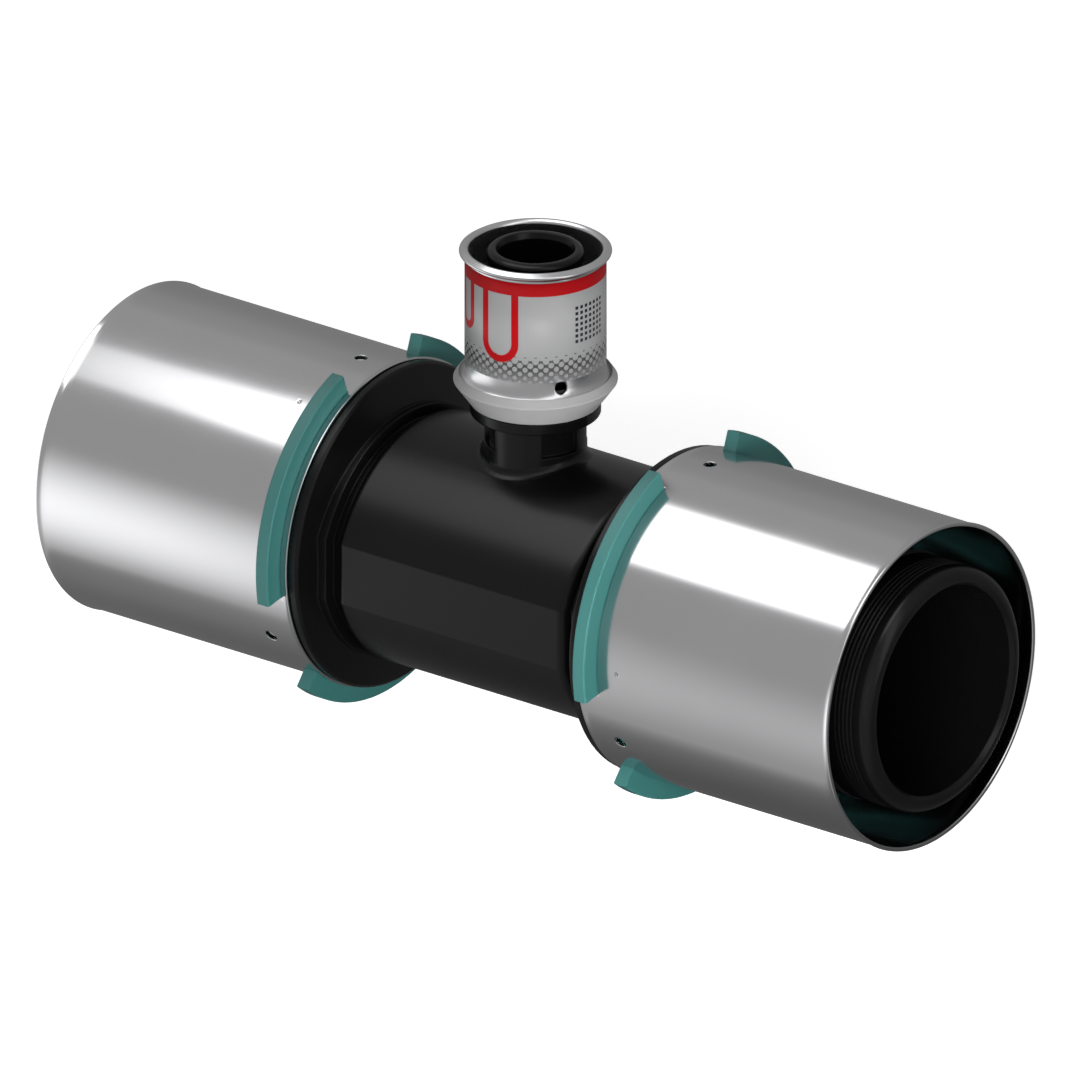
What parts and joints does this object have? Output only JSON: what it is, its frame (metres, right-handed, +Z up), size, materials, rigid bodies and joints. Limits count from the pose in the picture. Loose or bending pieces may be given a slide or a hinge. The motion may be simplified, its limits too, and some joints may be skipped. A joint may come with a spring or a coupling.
{
  "type": "reducing tee pipe fitting",
  "caption": "Black plastic reducing tee for multilayer pipe, with a steel press sleeve and a coloured stop ring on each end and a narrower branch.",
  "frame": {"origin": "middle of the tee, where the run's axis meets the branch's", "axes": "+X along the run, from its left mouth to its right one; +Z up, with the tee lying on its stop ring lugs; the branch leans from +Y up towards +Z at 30 degrees above level"},
  "size_m": [0.2064, 0.1044, 0.0826],
  "materials": {
    "body_plastic": "black moulded plastic, satin",
    "sleeve_steel": "bright drawn stainless steel",
    "ring_teal": "teal moulded plastic, matt",
    "ring_grey": "light grey moulded plastic, matt",
    "film_print": "printed clear film with light grey and red fields",
    "seal_rubber": "smooth black rubber"
  },
  "bodies": {
    "root": {"tee_body": "body_plastic", "press_sleeve_left": "sleeve_steel", "press_sleeve_right": "sleeve_steel", "press_sleeve_branch": "sleeve_steel", "stop_ring_left": "ring_teal", "stop_ring_right": "ring_teal", "stop_ring_branch": "ring_grey", "print_film": "film_print", "o_ring_left_inner": "seal_rubber", "o_ring_left_outer": "seal_rubber", "o_ring_right_inner": "seal_rubber", "o_ring_right_outer": "seal_rubber", "o_ring_branch_lower": "seal_rubber", "o_ring_branch_upper": "seal_rubber"}
  },
  "joints": []
}
